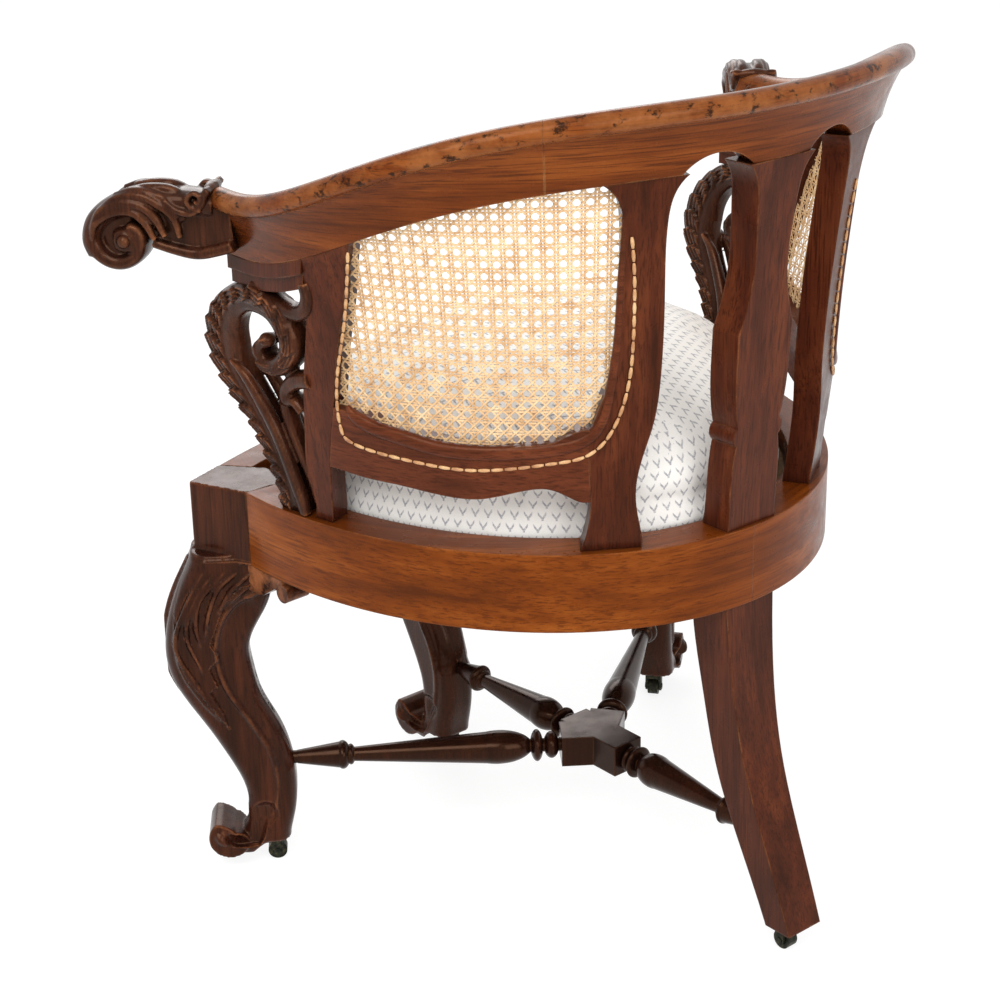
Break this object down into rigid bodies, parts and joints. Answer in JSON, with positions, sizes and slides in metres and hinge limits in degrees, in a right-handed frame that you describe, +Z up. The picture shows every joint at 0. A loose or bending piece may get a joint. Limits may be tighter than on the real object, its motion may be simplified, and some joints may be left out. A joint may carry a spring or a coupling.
{
  "type": "desk armchair",
  "caption": "Wooden desk armchair with a padded round seat, horseshoe crest, cane side panels, carved scroll arms, cabriole legs and a turned cross stretcher on castors.",
  "frame": {"origin": "on the floor, at the middle of the overall width and depth", "axes": "+X to the sitter's left, +Y to the rear, +Z up"},
  "size_m": [0.7966, 0.584, 0.7672],
  "materials": {
    "mahogany": "polished",
    "carved_mahogany": "polished",
    "dark_mahogany": "glossy",
    "plain_timber": "raw",
    "cane": "satin",
    "seat_cloth": "woven",
    "webbing": "woven",
    "castor_metal": "tarnished",
    "castor_wheel": "worn"
  },
  "bodies": {
    "chair": {"arm_plinth_left": "mahogany", "arm_plinth_right": "mahogany", "cane_panel_left": "cane", "cane_panel_right": "cane", "carved_bracket_left": "carved_mahogany", "carved_bracket_right": "carved_mahogany", "castor_socket_front": "castor_metal", "castor_socket_left": "castor_metal", "castor_socket_rear": "castor_metal", "castor_socket_right": "castor_metal", "corner_blocks": "plain_timber", "crest_arm_left": "mahogany", "crest_arm_right": "mahogany", "crest_rail_back": "mahogany", "front_leg": "mahogany", "front_rail_left": "mahogany", "front_rail_right": "mahogany", "front_stile_left": "mahogany", "front_stile_right": "mahogany", "handhold_left": "carved_mahogany", "handhold_right": "carved_mahogany", "knee_brackets": "carved_mahogany", "panel_rail_left": "mahogany", "panel_rail_right": "mahogany", "rear_leg_post": "mahogany", "rear_stile_left": "mahogany", "rear_stile_right": "mahogany", "seat_cushion": "seat_cloth", "seat_frame": "plain_timber", "seat_rail_left": "mahogany", "seat_rail_right": "mahogany", "seat_webbing": "webbing", "side_leg_left": "mahogany", "side_leg_right": "mahogany", "stretcher_front": "dark_mahogany", "stretcher_hub": "dark_mahogany", "stretcher_left": "dark_mahogany", "stretcher_rear": "dark_mahogany", "stretcher_right": "dark_mahogany"},
    "castor_swivel_left": {"castor_fork_left": "castor_metal", "castor_pin_left": "castor_metal"},
    "castor_roll_left": {"castor_wheel_left": "castor_wheel"},
    "castor_swivel_right": {"castor_fork_right": "castor_metal", "castor_pin_right": "castor_metal"},
    "castor_roll_right": {"castor_wheel_right": "castor_wheel"},
    "castor_swivel_front": {"castor_fork_front": "castor_metal", "castor_pin_front": "castor_metal"},
    "castor_roll_front": {"castor_wheel_front": "castor_wheel"},
    "castor_swivel_rear": {"castor_fork_rear": "castor_metal", "castor_pin_rear": "castor_metal"},
    "castor_roll_rear": {"castor_wheel_rear": "castor_wheel"}
  },
  "joints": [
    {"name": "castor_swivel_joint_left", "type": "hinge", "parent": "chair", "child": "castor_swivel_left", "pos_m": [0.25581, -0.16084, 0.03], "axis": [0, 0, 1], "continuous": true},
    {"name": "castor_roll_joint_left", "type": "hinge", "parent": "castor_swivel_left", "child": "castor_roll_left", "pos_m": [0.24937, -0.15608, 0.009], "axis": [0.5939, 0.8045, 0], "continuous": true},
    {"name": "castor_swivel_joint_right", "type": "hinge", "parent": "chair", "child": "castor_swivel_right", "pos_m": [-0.25581, -0.16084, 0.03], "axis": [0, 0, 1], "continuous": true},
    {"name": "castor_roll_joint_right", "type": "hinge", "parent": "castor_swivel_right", "child": "castor_roll_right", "pos_m": [-0.24937, -0.15608, 0.009], "axis": [0.5939, -0.8045, 0], "continuous": true},
    {"name": "castor_swivel_joint_front", "type": "hinge", "parent": "chair", "child": "castor_swivel_front", "pos_m": [0, -0.21, 0.03], "axis": [0, 0, 1], "continuous": true},
    {"name": "castor_roll_joint_front", "type": "hinge", "parent": "castor_swivel_front", "child": "castor_roll_front", "pos_m": [0, -0.202, 0.009], "axis": [1, 0, 0], "continuous": true},
    {"name": "castor_swivel_joint_rear", "type": "hinge", "parent": "chair", "child": "castor_swivel_rear", "pos_m": [0, 0.278, 0.03], "axis": [0, 0, 1], "continuous": true},
    {"name": "castor_roll_joint_rear", "type": "hinge", "parent": "castor_swivel_rear", "child": "castor_roll_rear", "pos_m": [0, 0.27, 0.009], "axis": [-1, 0, 0], "continuous": true}
  ]
}
